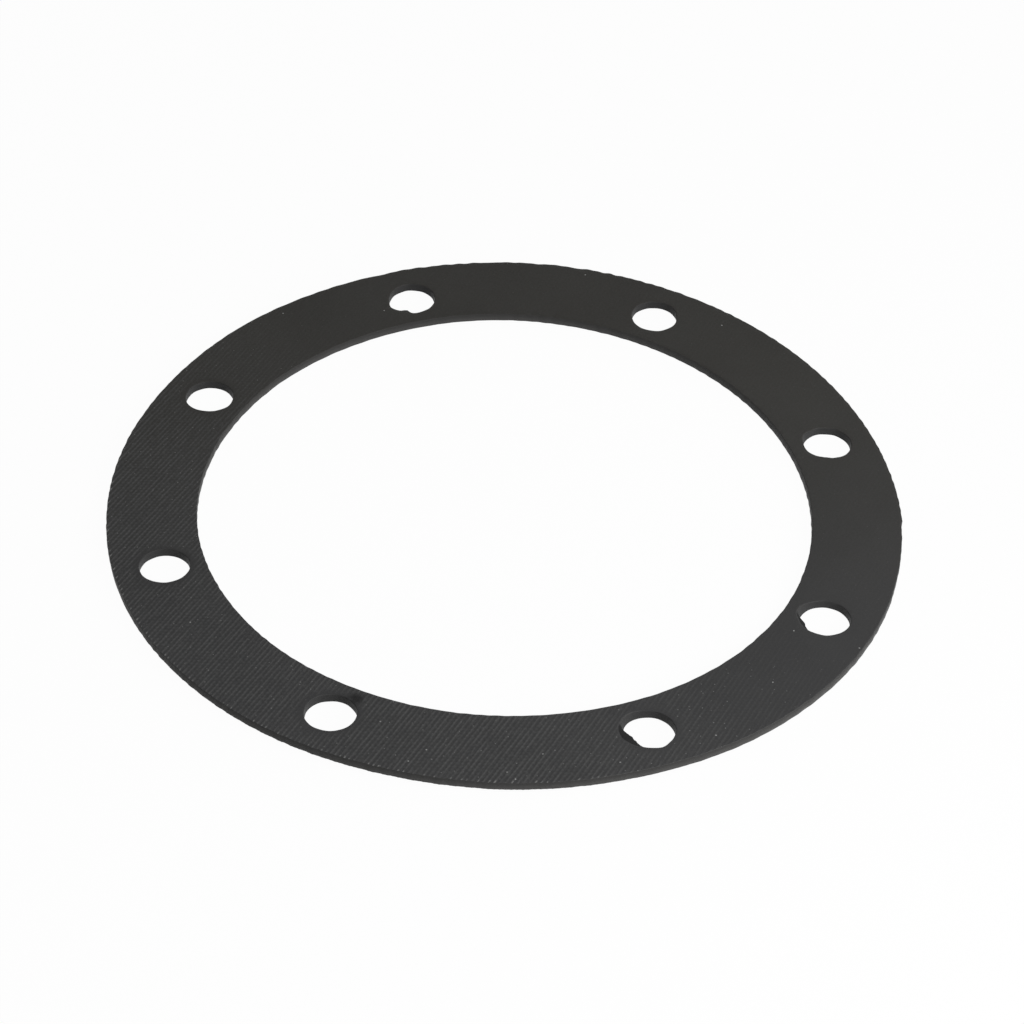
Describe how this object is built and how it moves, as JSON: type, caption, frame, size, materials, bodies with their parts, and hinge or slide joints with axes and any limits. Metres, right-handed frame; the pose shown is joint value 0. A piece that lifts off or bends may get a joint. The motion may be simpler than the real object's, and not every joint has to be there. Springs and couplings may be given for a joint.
{
  "type": "flat ring gasket",
  "caption": "Flat ring gasket cut from cloth-finished black rubber sheet, with clearance holes for the cover bolts round a pitch circle and one keyed hole off its even place.",
  "frame": {"origin": "the ring's centre on its underside, level with the surface that it lies on", "axes": "+Z is the ring's axis, up from the surface. +X and +Y pass midway between two bolt holes. Counted clockwise from +X seen from above, the keyed hole is the second one, turned 5 degrees towards +X."},
  "size_m": [0.18, 0.18, 0.002],
  "materials": {
    "rubber": "matt, with a fine cloth impression on both faces"
  },
  "bodies": {
    "root": {"gasket": "rubber"}
  },
  "joints": []
}
